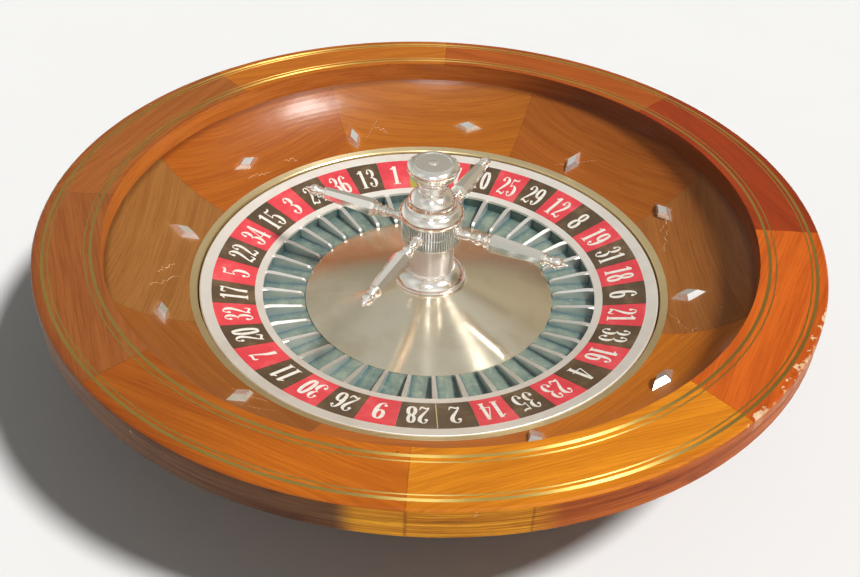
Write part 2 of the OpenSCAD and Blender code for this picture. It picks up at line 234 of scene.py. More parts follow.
def leaf_place(s, joint):
    """Place in the mitred veneer leaves: leaf number, distances along, across and to the seam."""
    spot = s.mul(s.math("WRAP", s.sub(s.turn, joint), 360.0, 0.0), LEAVES / 360.0)
    leaf = s.math("FLOOR", spot)
    lean = s.mul(s.sub(s.sub(spot, leaf), 0.5), 2 * math.pi / LEAVES)
    along = s.mul(s.radius, s.math("SINE", lean))
    across = s.mul(s.radius, s.math("COSINE", lean))
    gap = s.sub(s.mul(across, math.tan(math.pi / LEAVES)), s.math("ABSOLUTE", along))
    return leaf, along, across, gap


def wood_grain(s, along, across, depth, shift):
    """Straight mahogany figure, each 0 to 1: slow drift of tone, fine streaks, dark pores."""
    start = s.add(along, s.mul(shift, 1.73))
    wander = s.noise(s.scaled(s.vec(start, across, depth), 4.0, 7.0, 7.0), 1.0, 2.0)
    bent = s.vec(start, s.add(across, s.mul(wander, 0.014)), depth)
    broad = s.noise(s.scaled(bent, 3.0, 84.0, 84.0), 1.0, 2.0, 0.5)
    fine = s.noise(s.scaled(bent, 14.0, 560.0, 560.0), 1.0, 2.0, 0.6)
    pores = s.step(s.noise(s.scaled(bent, 48.0, 1300.0, 1300.0), 1.0, 1.0), 0.60, 0.72)
    return broad, fine, pores


def figured(s, tint, grain, depth):
    """A leaf's own colour with the grain laid over it."""
    broad, fine, pores = grain
    figure = s.step(s.add(s.mul(broad, 0.45), s.mul(fine, 0.55)), 0.36, 0.64)
    dark = s.times(tint, (1 - 0.28 * depth, 1 - 0.38 * depth, 1 - 0.48 * depth))
    light = s.times(tint, (1 + 0.12 * depth, 1 + 0.20 * depth, 1 + 0.30 * depth))
    colour = s.mix(figure, dark, light)
    return s.times(colour, (0.62, 0.48, 0.40), s.mul(pores, 0.55 * depth))


def varnished(s, colour, grain, coat_rough, gloss):
    """Wood under a slightly uneven clear coat with hairline scratches."""
    marks = s.scratches(0.40)
    under = s.bump(s.sub(s.mul(grain[1], 0.5), grain[2]), 0.25, 0.0003)
    over = s.bump(s.sub(s.noise(s.obj, 19.0, 2.0, 0.45), s.mul(marks, 0.01)), 0.9, 0.0008)
    return s.set(color=colour, rough=0.45, spec=0.10, coat=gloss, coat_rough=coat_rough, coat_ior=1.4,
                 normal=under, coat_normal=over)


def leaf_tints(s, leaf, tints):
    """Each leaf's own tint."""
    stops = [(i / LEAVES, tint) for i, tint in enumerate(tints)]
    return s.ramp(s.mul(s.add(leaf, 0.5), 1 / LEAVES), *stops, flat=True)


# The leaves' tints, clockwise from the first joint
RIM_TINTS = [(0.43, 0.094, 0.0110), (0.33, 0.040, 0.0060), (0.64, 0.120, 0.0090), (0.77, 0.260, 0.0105),
             (0.375, 0.092, 0.0070), (0.32, 0.095, 0.020), (0.375, 0.112, 0.022), (0.53, 0.152, 0.0125)]
APRON_TINTS = [(0.38, 0.106, 0.014), (0.375, 0.133, 0.029), (0.58, 0.172, 0.014), (0.45, 0.125, 0.016),
               (0.29, 0.093, 0.015), (0.30, 0.124, 0.030), (0.39, 0.102, 0.009), (0.44, 0.134, 0.012)]


def round_grain(s, shift):
    """Grain that runs round the wheel, as on the wall, the skirt and the base."""
    along = s.math("WRAP", s.turn, 180.0 + RIM_JOINT, RIM_JOINT - 180.0)
    return wood_grain(s, s.mul(along, math.radians(1) * 0.36), s.height, s.mul(s.radius, 0.8), shift)


# The skirt and the side of the rim board share one figure
SKIRT_SHIFT = 9.0
SKIRT_DEPTH = 1.35
SKIRT_SEAM = 167.5


def skirt_shade(s):
    """The skirt's boards: golden in front and redder at the right, with painted shade making them dark at
    the left and behind.
    """
    # Painted shade: the dark base colour everywhere away from the front and the right
    colour = s.mix(s.within(176.0, 11.0, 3.0), (0.17, 0.070, 0.026), (0.78, 0.32, 0.016))
    colour = s.mix(s.within(137.0, 26.0, 6.0), colour, (0.48, 0.11, 0.016))
    colour = s.mix(s.within(88.0, 22.0, 6.0), colour, (0.42, 0.09, 0.015))
    seams = s.top(s.within(180.0 + RIM_JOINT, 0.05, 0.25), s.within(SKIRT_SEAM, 0.05, 0.20))
    colour = s.times(colour, (0.34, 0.28, 0.24), s.mul(seams, 0.5))
    blot = s.noise(s.vec(s.mul(s.turn, 0.10), s.mul(s.height, 60.0), 0.0), 1.0, 3.0, 0.6)
    return s.times(colour, (0.50, 0.40, 0.34), s.step(blot, 0.52, 0.70, 0.0, 0.7))


def rim_material():
    s = Shader("rim_veneer_varnished")
    leaf, along, across, gap = leaf_place(s, RIM_JOINT)
    grain = wood_grain(s, along, across, 0.0, leaf)
    colour = figured(s, leaf_tints(s, leaf, RIM_TINTS), grain, 0.72)
    colour = s.times(colour, (0.45, 0.36, 0.30), s.step(gap, 0.0002, 0.0006, 0.6, 0.0))
    # The two boards nearest the camera have almost the same colour where they meet
    is_left = s.math("COMPARE", leaf, 4.0, 0.5)
    is_right = s.math("COMPARE", leaf, 3.0, 0.5)
    colour = s.times(colour, (1.55, 1.66, 1.25), s.mul(s.within(187.0, 5.0, 26.0), is_left))
    colour = s.times(colour, (0.90, 0.90, 0.95), s.mul(s.within(177.0, 4.0, 12.0), is_right))
    # The varnish is browner towards the outer edge
    browner = s.step(s.radius, (RIM_R - 14.5) * MM, (RIM_R - 1.0) * MM, 0.0, 0.7)
    colour = s.times(colour, (0.80, 0.68, 0.60), browner)
    # The side of the rim board takes the skirt's tone and its painted shade
    side_grain = round_grain(s, SKIRT_SHIFT)
    side = s.step(s.height, (RIM_Z - 2.4) * MM, (RIM_Z - 1.6) * MM, 1.0, 0.0)
    colour = s.mix(side, colour, figured(s, skirt_shade(s), side_grain, SKIRT_DEPTH))
    # Chips along the outer edge, worst at the near right
    chip = s.noise(s.scaled(s.obj, 1.0, 1.0, 0.6), 78.0, 4.0, 0.62)
    reach = s.mul(s.sub(RIM_R * MM, s.radius), 23.0)
    worn = s.add(0.71, s.mul(s.within(124.0, 10.0, 6.0), 0.37))
    chipped = s.mul(s.step(s.sub(s.mul(chip, worn), reach), 0.485, 0.500), s.sub(1.0, s.mul(side, 0.75)))
    bare = s.ramp(chip, (0.46, (0.50, 0.22, 0.07)), (0.60, (0.84, 0.60, 0.38)))
    colour = s.mix(s.mul(chipped, 0.9), colour, bare)
    colour = s.mix(s.mul(s.specks(70.0, 0.10, 0.03), 0.5), colour, (0.70, 0.40, 0.16))
    colour = s.times(colour, (0.30, 0.22, 0.20), s.mul(s.specks(46.0, 0.10, 0.035), 0.7))
    return varnished(s, colour, grain, 0.12, s.sub(0.35, s.mul(side, 0.31)))


# Middles of the two kinds of deflector, and the reach of the polish round each, in metres
LYING_R = 0.2913
UPRIGHT_R = 0.2798
HALO_LONG = 0.0225
HALO_SHORT = 0.0105


def deflector_halo(s):
    """1 on the polish left round each deflector; every second one stands upright."""
    place = s.add(s.sub(s.turn, DEFLECTOR_TURN), DEFLECTOR_STEP / 2)
    place = s.math("WRAP", place, DEFLECTOR_STEP * 2, 0.0)
    upright = s.math("FLOOR", s.mul(place, 1 / DEFLECTOR_STEP))
    off = s.sub(s.sub(place, s.mul(upright, DEFLECTOR_STEP)), DEFLECTOR_STEP / 2)
    side = s.math("ABSOLUTE", s.mul(s.radius, s.mul(off, math.radians(1))))
    far_lying = s.math("ABSOLUTE", s.sub(s.radius, LYING_R))
    far_upright = s.math("ABSOLUTE", s.sub(s.radius, UPRIGHT_R))
    lying = s.add(s.mul(side, 1 / HALO_LONG), s.mul(far_lying, 1 / HALO_SHORT))
    standing = s.add(s.mul(side, 1 / HALO_SHORT), s.mul(far_upright, 1 / HALO_LONG))
    reach = s.add(s.mul(lying, s.sub(1.0, upright)), s.mul(standing, upright))
    smear = s.noise(s.obj, 130.0, 3.0, 0.6)
    return s.mul(s.step(s.add(reach, s.mul(smear, 0.5)), 1.10, 1.60, 1.0, 0.0), s.step(smear, 0.30, 0.70))


def apron_material():
    s = Shader("apron_veneer_varnished")
    leaf, along, across, gap = leaf_place(s, APRON_JOINT)
    grain = wood_grain(s, along, across, 0.0, s.add(leaf, 11.0))
    colour = figured(s, leaf_tints(s, leaf, APRON_TINTS), grain, 0.62)
    colour = s.times(colour, (0.50, 0.42, 0.36), s.step(gap, 0.0002, 0.0006, 0.5, 0.0))
    colour = s.mix(s.mul(deflector_halo(s), 0.08), colour, (0.60, 0.40, 0.24))
    colour = s.mix(s.mul(s.specks(60.0, 0.09, 0.025), 0.6), colour, (0.70, 0.42, 0.18))
    # Painted shade: darker where the apron meets the foot of the wall
    wall_foot_shade = s.step(s.radius, (MOUTH_R - 6.0) * MM, (MOUTH_R - 0.5) * MM, 0.0, 0.7)
    colour = s.times(colour, (0.40, 0.30, 0.24), wall_foot_shade)
    return varnished(s, colour, grain, 0.23, 0.36)


def turned_wood(name, tint, shift, depth=1.0, shade=None, gloss=0.35):
    """Varnished wood whose grain runs round the wheel; shade, when given, gives its colour, painted shade
    included, in place of tint.
    """
    s = Shader(name)
    grain = round_grain(s, shift)
    colour = figured(s, shade(s) if shade else tint, grain, depth)
    colour = s.mix(s.mul(s.specks(60.0, 0.09, 0.03), 0.4), colour, tint)
    return varnished(s, colour, grain, 0.16, gloss)


def wall_shade(s):
    """The wall is darker on the right, where it faces away from the key light."""
    return s.mix(s.within(72.0, 36.0, 26.0), (0.55, 0.165, 0.026), (0.20, 0.055, 0.018))


# Thickness of two plies, in metres
PLY_PAIR = 0.0030


def ply_material():
    s = Shader("sealed_birch_ply")
    x, y, z = s.xyz(s.obj)
    grain = wood_grain(s, x, y, z, 2.0)
    colour = figured(s, (0.48, 0.32, 0.17), grain, 0.6)
    plies = s.step(s.math("SINE", s.mul(z, 2 * math.pi / PLY_PAIR)), -0.2, 0.3)
    colour = s.times(colour, (0.72, 0.62, 0.52), s.mul(plies, 0.7))
    rough = s.add(0.5, s.mul(grain[1], 0.2))
    return s.set(color=colour, rough=rough, normal=s.bump(grain[1], 0.4, 0.0003))


# ---------------------------------------------------------------- metal and enamel

def metal(name, colour, dull, rough, spread=0.12, turned=0.0, aniso=0.0, brush=0.25, stain=0.25,
          scratch=0.45, wave=0.8, specks=0.3, plated=1.0, grooves=(), bevel_shade_from=None):
    """Polished metal with turning marks, hairline scratches and duller, browner patches.

    grooves are (low, high, radius) in metres: painted shade darkens the metal inside the radius between the
    heights.
    bevel_shade_from is the radius, in metres, outside which the metal is rougher and darkened with painted
    shade.
    """
    s = Shader(name)
    patch = s.step(s.noise(s.obj, 16.0, 4.0, 0.6), 0.45, 0.75)
    smudge = s.step(s.noise(s.obj, 55.0, 3.0, 0.6, 0.8), 0.35, 0.75)
    marks = s.scratches(scratch)
    tone = s.mix(s.mul(patch, stain), colour, dull)
    tone = s.mix(s.mul(s.specks(150.0, 0.12, 0.04), specks), tone, tuple(v * 0.6 for v in dull))
    roughness = s.add(rough, s.add(s.mul(smudge, spread), s.mul(marks, 0.08)))
    # Painted shade in the valleys between reeds
    for low, high, depth_r in grooves:
        inside = s.mul(s.step(s.height, low, low + 0.0002), s.step(s.height, high - 0.0002, high, 1.0, 0.0))
        valley_shade = s.mul(inside, s.step(s.radius, depth_r - 0.0002, depth_r + 0.0001, 1.0, 0.0))
        tone = s.mix(s.mul(valley_shade, 0.75), tone, (0.26, 0.24, 0.21))
        roughness = s.add(roughness, s.mul(valley_shade, 0.35))
    # Painted shade: beyond the radius the metal is darker as well as rougher
    if bevel_shade_from:
        roughness = s.add(roughness, s.step(s.radius, bevel_shade_from, bevel_shade_from + 0.0002, 0.0, 0.35))
        tone = s.times(tone, (0.62, 0.58, 0.52), s.step(s.radius, bevel_shade_from, bevel_shade_from + 0.0002))
    relief = s.sub(s.mul(s.noise(s.obj, 24.0, 2.0), wave), s.mul(marks, 0.02))
    if turned:
        lathe = s.vec(s.mul(s.radius, 1500.0), s.mul(s.height, 1500.0), s.mul(s.turn, 0.02))
        relief = s.add(relief, s.mul(s.noise(lathe, 1.0, 2.0, 0.6), turned))
    s.set(color=tone, metal=plated, rough=roughness, normal=s.bump(relief, 0.30, 0.0004))
    if aniso:
        tangent = s.new("ShaderNodeTangent", direction_type="RADIAL", axis="Z")
        s.set(aniso=aniso, aniso_turn=brush, tangent=tangent.outputs[0])
    return s.mat


def enamel(name, colour, deep, pale):
    """Glossy lacquer with soft colour drift, rubbed spots and fine hairlines."""
    s = Shader(name)
    drift = s.noise(s.obj, 38.0, 3.0, 0.6)
    tone = s.ramp(drift, (0.30, deep), (0.52, colour), (0.78, pale))
    rub = s.mul(s.step(s.noise(s.obj, 210.0, 3.0, 0.7), 0.62, 0.75), s.step(drift, 0.4, 0.6))
    marks = s.scratches(0.5)
    tone = s.mix(s.top(s.mul(rub, 0.30), s.mul(marks, 0.20)), tone, pale)
    relief = s.bump(s.sub(s.noise(s.obj, 140.0, 2.0), s.mul(marks, 0.1)), 0.10, 0.0004)
    return s.set(color=tone, rough=s.add(0.35, s.mul(rub, 0.2)), coat=0.7, coat_rough=0.16,
                 coat_ior=1.4, spec=0.3, normal=relief, coat_normal=relief)


# Radii, in metres, between which a pocket darkens with painted shade towards its outer wall
POCKET_SHADE_R = (0.160, 0.183)


def pocket_material():
    s = Shader("pocket_enamel_blue_green")
    drift = s.noise(s.obj, 45.0, 4.0, 0.65, 0.6)
    streak = s.noise(s.vec(s.mul(s.radius, 12.0), s.mul(s.turn, 1.9), s.height), 3.0, 3.0, 0.6)
    tone = s.ramp(s.add(s.mul(drift, 0.6), s.mul(streak, 0.4)), (0.32, (0.075, 0.135, 0.125)),
                  (0.50, (0.19, 0.25, 0.21)), (0.68, (0.36, 0.40, 0.30)))
    # Painted shade: each pocket is darker and bluer beside its frets, where their shadows fall, and towards
    # its outer wall, under the lip
    place = s.math("WRAP", s.sub(s.turn, ROTOR_TURN - SEG / 2), SEG, 0.0)
    aside = s.math("ABSOLUTE", s.sub(place, SEG / 2))
    tone = s.mix(s.step(aside, SEG * 0.14, SEG * 0.42, 0.0, 0.80), tone, (0.020, 0.085, 0.110))
    tone = s.mix(s.step(s.radius, *POCKET_SHADE_R, 0.0, 0.45), tone, (0.030, 0.095, 0.115))
    worn = s.step(s.noise(s.obj, 190.0, 4.0, 0.7), 0.56, 0.70)
    tone = s.mix(s.mul(worn, 0.40), tone, (0.42, 0.47, 0.36))
    relief = s.bump(s.noise(s.obj, 260.0, 3.0, 0.6), 0.25, 0.0004)
    return s.set(color=tone, rough=0.35, coat=0.6, coat_rough=0.2, coat_ior=1.4, spec=0.3,
                 normal=relief, coat_normal=relief)


def rubber_material():
    s = Shader("foot_rubber_black")
    grain = s.noise(s.obj, 500.0, 3.0, 0.7)
    tone = s.ramp(s.noise(s.obj, 30.0, 3.0), (0.3, (0.012, 0.012, 0.013)), (0.8, (0.050, 0.048, 0.045)))
    return s.set(color=tone, rough=s.add(0.65, s.mul(grain, 0.2)), normal=s.bump(grain, 0.4, 0.0003))


def ink_material(name, colour, aged):
    """Thin paint that is worn in spots."""
    s = Shader(name)
    worn = s.noise(s.obj, 240.0, 3.0, 0.65)
    tone = s.mix(s.step(worn, 0.45, 0.75), colour, aged)
    return s.set(color=tone, rough=0.45, coat=0.5, coat_rough=0.15, normal=s.bump(worn, 0.15, 0.0002))


paint(rim_material(), "rim_top")
paint(apron_material(), "apron")
paint(turned_wood("wall_veneer_varnished", (0.42, 0.12, 0.025), 5.0, 0.8, wall_shade), "track_wall")
paint(turned_wood("skirt_wood_varnished", (0.15, 0.062, 0.028), SKIRT_SHIFT, SKIRT_DEPTH,
                  skirt_shade, 0.04), "rim_skirt")
paint(turned_wood("bowl_wood_varnished", (0.105, 0.040, 0.016), 17.0), "bowl_body", "rim_frame", "base_drum")
paint(ply_material(), "base_board", "rotor_disc", "rotor_rim")

inlay = metal("inlay_brass_aged", (0.68, 0.47, 0.13), (0.46, 0.31, 0.06), 0.41, 0.04, aniso=1.0,
              stain=0.3, scratch=0.2, specks=0.0)
paint(inlay, "inlay_outer_broad", "inlay_outer_fine", "inlay_inner_fine", "inlay_inner_broad")
brass = metal("stator_brass", (0.90, 0.73, 0.42), (0.74, 0.57, 0.28), 0.30, 0.06, aniso=0.7,
              stain=0.35, scratch=0.3, specks=0.1)
paint(brass, "stator_ring", "rotor_hub")
paint(metal("pin_brass", (0.66, 0.50, 0.22), (0.42, 0.30, 0.13), 0.25), "base_screws", "deflector_pins")
steel = metal("bearing_steel", (0.56, 0.57, 0.58), (0.34, 0.33, 0.31), 0.18, turned=0.2)
paint(steel, "spindle", "spindle_bolts", "spindle_nut", "hub_screws", "lower_inner_race", "lower_outer_race",
      "lower_ball_set", "upper_inner_race", "upper_outer_race", "upper_ball_set")
chrome = metal("deflector_nickel", (0.94, 0.92, 0.89), (0.70, 0.65, 0.58), 0.15, 0.08, stain=0.3,
               specks=0.1, wave=0.3, plated=0.84)
paint(chrome, *[f"deflector_{i:02d}" for i in range(1, 13)])
# Outside this radius, in metres, the number ring's bevelled edge is rougher and darkened with painted shade
RING_BEVEL_R = 0.2487
ring = metal("number_ring_nickel", (0.96, 0.915, 0.85), (0.78, 0.71, 0.61), 0.44, 0.06, turned=0.05,
             stain=0.55, specks=0.12, plated=0.75, bevel_shade_from=RING_BEVEL_R)
paint(ring, "number_ring")
frets = metal("fret_nickel", (0.95, 0.92, 0.88), (0.78, 0.70, 0.60), 0.32, 0.06, aniso=0.92, brush=0.0,
              stain=0.2, scratch=0.2, specks=0.1, wave=0.2, plated=0.85)
paint(frets, "frets")
cone = metal("cone_spun_nickel", (0.84, 0.76, 0.60), (0.62, 0.51, 0.34), 0.16, 0.02, aniso=0.99,
             stain=0.5, scratch=0.35, wave=0.15, specks=0.15, plated=0.92)
paint(cone, "cone")
# Finish of the turret and its arms
POLISH = dict(colour=(0.95, 0.92, 0.87), dull=(0.76, 0.69, 0.58), rough=0.11, spread=0.04, turned=0.02,
              stain=0.22, specks=0.15, wave=0.10, plated=0.88)
turret = metal("turret_nickel", **POLISH)
paint(turret, "turret_base", "turret_dome", "turret_knob", "arm_1", "arm_2", "arm_3", "arm_4")
column = metal("column_nickel", (0.95, 0.97, 0.98), (0.86, 0.86, 0.84), 0.12, 0.04, turned=0.03,
               stain=0.2, specks=0.1, wave=0.10, plated=0.55)
paint(column, "turret_column")
# The valleys of the collar's two reeded bands, darkened with painted shade: low, high and radius, in metres
REED_BANDS = [(0.1446, 0.1574, 0.0321), (0.1586, 0.1696, 0.0321)]
paint(metal("collar_nickel", grooves=REED_BANDS, **POLISH), "turret_collar")
paint(pocket_material(), "pocket_floor", "pocket_wall")
paint(enamel("plate_red", (0.78, 0.062, 0.080), (0.68, 0.045, 0.062), (0.86, 0.14, 0.15)), "plates_red")
paint(enamel("plate_black", (0.105, 0.062, 0.030), (0.075, 0.046, 0.024), (0.21, 0.135, 0.070)),
      "plates_black")
paint(enamel("plate_green", (0.36, 0.36, 0.040), (0.26, 0.30, 0.035), (0.50, 0.46, 0.080)), "plate_zero")
paint(rubber_material(), "foot_1", "foot_2", "foot_3")


# ---------------------------------------------------------------- geometry helpers

def at(radius, turn, height):
    """A point in metres from a radius in mm, a direction clockwise from +Y in degrees and a height in mm."""
    a = math.radians(turn)
    return Vector((radius * math.sin(a), radius * math.cos(a), height)) * MM


def new_object(name, data):
    obj = bpy.data.objects.new(name, data)
    bpy.context.scene.collection.objects.link(obj)
    return obj


def piece(name, bm, material, body, smooth=False):
    """Make bm an object that rides on a body and belongs to a material slot."""
    bmesh.ops.recalc_face_normals(bm, faces=bm.faces)
    mesh = bpy.data.meshes.new(name)
    bm.to_mesh(mesh)
    bm.free()
    for face in mesh.polygons:
        face.use_smooth = smooth
    mesh.materials.append(material)
    obj = new_object(name, mesh)
    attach(obj, body)


def prism(bm, left, right, low, high, closed):
    """A closed solid strip between two lists of top points; low and high place its two faces."""
    rows = []
    for a, b in zip(left, right):
        rows.append([bm.verts.new(p) for p in (low(a), low(b), high(b), high(a))])
    count = len(rows)
    for i in range(count if closed else count - 1):
        one, two = rows[i], rows[(i + 1) % count]
        for k in range(4):
            bm.faces.new((one[k], one[(k + 1) % 4], two[(k + 1) % 4], two[k]))
    if not closed:
        bm.faces.new(rows[0])
        bm.faces.new(list(reversed(rows[-1])))


# ---------------------------------------------------------------- numerals

# Points on a stroke for each of its triples
PATH_STEPS = 7


def smooth_path(points, closed):
    """A Catmull-Rom curve through the given (x, y, pen) triples."""
    n = len(points)
    pts = [Vector(p) for p in points]
    out = []
    spans = n if closed else n - 1
    for i in range(spans):
        p1, p2 = pts[i], pts[(i + 1) % n]
        p0 = pts[i - 1] if closed or i > 0 else p1 * 2 - p2
        p3 = pts[(i + 2) % n] if closed or i + 2 < n else p2 * 2 - p1
        for k in range(PATH_STEPS):
            t = k / PATH_STEPS
            out.append(0.5 * ((2 * p1) + (p2 - p0) * t + (2 * p0 - 5 * p1 + 4 * p2 - p3) * t * t
                              + (3 * p1 - p0 - 3 * p2 + p3) * t ** 3))
    if not closed:
        out.append(pts[-1])
    return out


# Half thickness of the pen's level strokes, in digit heights
HAIR = 0.017


def pen_stroke(points, closed=False, hair=HAIR):
    """Both edges of a stroke drawn by a broad pen held level: thick uprights, thin level parts."""
    path = smooth_path(points, closed)
    n = len(path)
    left, right = [], []
    for i, p in enumerate(path):
        before = path[i - 1] if closed or i > 0 else p
        after = path[(i + 1) % n] if closed or i + 1 < n else p
        d = Vector((after[0] - before[0], after[1] - before[1])).normalized()
        nx, ny = -d[1], d[0]
        size = math.hypot(p[2] * nx, hair * ny)
        ox, oy = p[2] * p[2] * nx / size, hair * hair * ny / size
        left.append((p[0] + ox, p[1] + oy))
        right.append((p[0] - ox, p[1] - oy))
    return left, right, closed


def straight(x0, y0, x1, y1, half):
    """A straight bar with square ends and the given half thickness."""
    d = Vector((x1 - x0, y1 - y0)).normalized() * half
    return ([(x0 - d[1], y0 + d[0]), (x1 - d[1], y1 + d[0])],
            [(x0 + d[1], y0 - d[0]), (x1 + d[1], y1 - d[0])], False)


def ball(x, y, r=0.062):
    """The round end of a hooked stroke."""
    turns = [i * math.pi / 8 for i in range(9)]
    return ([(x - r * math.cos(t), y + r * math.sin(t)) for t in turns],
            [(x - r * math.cos(t), y - r * math.sin(t)) for t in turns], False)


def oval(x, y, rx, ry, pen):
    turns = [i * math.pi / 6 for i in range(12)]
    return pen_stroke([(x + rx * math.sin(t), y + ry * math.cos(t), pen) for t in turns], True)


# Digits one unit tall, centred on x = 0, as strokes
SIX = [pen_stroke([(0.125, 0.86, 0.018), (0.04, 0.975, 0.03), (-0.085, 0.86, 0.055), (-0.14, 0.55, 0.072),
                   (-0.135, 0.26, 0.070)]),
       oval(0.0, 0.285, 0.135, 0.268, 0.066), ball(0.115, 0.83)]
DIGITS = {
    0: [oval(0.0, 0.5, 0.135, 0.482, 0.072)],
    1: [straight(0.02, 0.0, 0.02, 1.0, 0.072), straight(-0.12, 0.018, 0.16, 0.018, 0.018),
        pen_stroke([(0.0, 0.965, 0.03), (-0.07, 0.90, 0.03), (-0.15, 0.845, 0.03)], hair=0.03)],
    2: [ball(-0.105, 0.785, 0.066),
        pen_stroke([(-0.15, 0.80, 0.02), (-0.08, 0.95, 0.03), (0.02, 0.982, 0.04), (0.125, 0.86, 0.068),
                    (0.12, 0.66, 0.072), (0.0, 0.40, 0.055), (-0.12, 0.18, 0.03), (-0.16, 0.05, 0.02)]),
        pen_stroke([(-0.165, 0.055, 0.03), (-0.07, 0.105, 0.03), (0.03, 0.055, 0.03), (0.12, 0.040, 0.03),
                    (0.175, 0.19, 0.014)], hair=0.045)],
    3: [ball(-0.105, 0.80), ball(-0.115, 0.205, 0.066),
        pen_stroke([(-0.14, 0.82, 0.02), (-0.06, 0.965, 0.03), (0.03, 0.98, 0.04), (0.115, 0.86, 0.066),
                    (0.105, 0.66, 0.066), (0.03, 0.555, 0.03), (-0.05, 0.53, 0.02)]),
        pen_stroke([(-0.05, 0.53, 0.02), (0.04, 0.515, 0.03), (0.13, 0.40, 0.068), (0.135, 0.20, 0.070),
                    (0.06, 0.04, 0.04), (-0.04, 0.018, 0.03), (-0.14, 0.12, 0.025), (-0.155, 0.20, 0.02)])],
    4: [straight(0.06, 0.0, 0.06, 1.0, 0.066), straight(-0.20, 0.285, 0.19, 0.285, 0.020),
        straight(-0.045, 0.018, 0.165, 0.018, 0.018),
        straight(0.03, 0.985, -0.195, 0.295, 0.020)],
    5: [straight(-0.125, 0.97, -0.125, 0.52, 0.018),
        pen_stroke([(-0.125, 0.935, 0.03), (-0.02, 0.915, 0.03), (0.07, 0.925, 0.03),
                    (0.155, 0.985, 0.02)], hair=0.045),
        pen_stroke([(-0.125, 0.525, 0.018), (-0.05, 0.60, 0.03), (0.05, 0.60, 0.04), (0.13, 0.46, 0.068),
                    (0.135, 0.22, 0.070), (0.06, 0.045, 0.04), (-0.04, 0.018, 0.03), (-0.135, 0.12, 0.025)]),
        ball(-0.11, 0.20, 0.066)],
    6: SIX,
    7: [pen_stroke([(-0.165, 0.80, 0.016), (-0.15, 0.925, 0.03), (-0.06, 0.94, 0.03), (0.05, 0.91, 0.03),
                    (0.155, 0.965, 0.03)], hair=0.045),
        pen_stroke([(0.15, 0.95, 0.02), (0.06, 0.62, 0.04), (-0.01, 0.36, 0.066), (-0.03, 0.02, 0.080)])],
    8: [oval(0.0, 0.752, 0.108, 0.230, 0.060), oval(0.0, 0.272, 0.132, 0.255, 0.068)],
    9: [([(-x, 1 - y) for x, y in a], [(-x, 1 - y) for x, y in b], c) for a, b, c in SIX],
}
# The numerals on the band, in mm; the digits of 11 are narrow, so they stand closer
NUMERAL_FOOT_R = 198.8
NUMERAL_TALL = 29.4
NUMERAL_STEP = 11.8
ELEVEN_STEP = 0.85 * NUMERAL_STEP
PAIR_WIDE = 0.90
SINGLE_WIDE = 1.12 * PAIR_WIDE
NUMERAL_THICK = 0.10
NUMERAL_SINK = 0.05
# Strokes that cross lie at slightly different heights, so their tops never coincide
STROKE_LIFTS = 6
STROKE_LIFT = 0.004


def ring_top(radius):
    """Height of the sloping number band at a radius, in mm."""
    return RING_Z + BAND_SLOPE * (radius - BAND_OUT_R)


def on_band(turn, offset, wide):
    """A function that puts a digit's points, which are in digit heights, on the number band."""
    out = at(1.0, turn, 0) / MM
    side = at(1.0, turn + 90, 0) / MM

    def spot(p, rise):
        across = offset + p[0] * NUMERAL_TALL * wide
        up = NUMERAL_FOOT_R + p[1] * NUMERAL_TALL
        q = out * up + side * across
        return Vector((q.x, q.y, ring_top(math.hypot(across, up)) + rise)) * MM

    return spot


bm = bmesh.new()
layer = 0
for pocket, number in enumerate(NUMBERS):
    text = str(number)
    step = ELEVEN_STEP if number == 11 else NUMERAL_STEP
    wide = SINGLE_WIDE if len(text) == 1 else PAIR_WIDE
    for place, char in enumerate(text):
        offset = (place - (len(text) - 1) / 2) * step
        spot = on_band(ROTOR_TURN + pocket * SEG, offset, wide)
        for left, right, closed in DIGITS[int(char)]:
            layer += 1
            lift = NUMERAL_THICK + STROKE_LIFT * (layer % STROKE_LIFTS)
            prism(bm, left, right, lambda p: spot(p, -NUMERAL_SINK), lambda p: spot(p, lift), closed)
cream = ink_material("numeral_cream", (0.90, 0.87, 0.80), (0.72, 0.66, 0.52))
piece("numerals", bm, cream, "rotor")

# A thin pale line between the plates of 2 and 28
LINE_TURN = ROTOR_TURN + (NUMBERS.index(2) + 0.5) * SEG
LINE_ENDS = (193.5, 236.0)
LINE_HALF = 0.45
line_out = at(1.0, LINE_TURN, 0) / MM
line_side = at(1.0, LINE_TURN + 90, 0) / MM


def line_spot(p, rise):
    q = line_out * p[0] + line_side * p[1]
    return Vector((q.x, q.y, ring_top(p[0]) + rise)) * MM


bm = bmesh.new()
prism(bm, [(r, -LINE_HALF) for r in LINE_ENDS], [(r, LINE_HALF) for r in LINE_ENDS],
      lambda p: line_spot(p, -0.03), lambda p: line_spot(p, 0.06), False)
yellow = ink_material("divider_yellow", (0.62, 0.52, 0.22), (0.45, 0.36, 0.15))
piece("divider_line", bm, yellow, "rotor")


# ---------------------------------------------------------------- cracks in the apron's varnish

# Ends of the apron's hollow arc, and half the angle that it turns through
APRON_CHORD = (Vector((APRON_FOOT_R, APRON_FOOT_Z)), Vector((MOUTH_R, RIM_Z - WALL_H)))
APRON_HALF_TURN = math.radians(15.8)


def apron_height(radius):
    """Height of the apron's hollow arc at a radius, in mm."""
    low, high = APRON_CHORD
    chord = high - low
    r = chord.length / 2 / math.sin(APRON_HALF_TURN)
    lean = math.atan2(chord.y, chord.x) - APRON_HALF_TURN + math.pi / 2
    centre = low + Vector((math.cos(lean), math.sin(lean))) * r
    return centre.y - math.sqrt(max(r * r - (radius - centre.x) ** 2, 0.0))


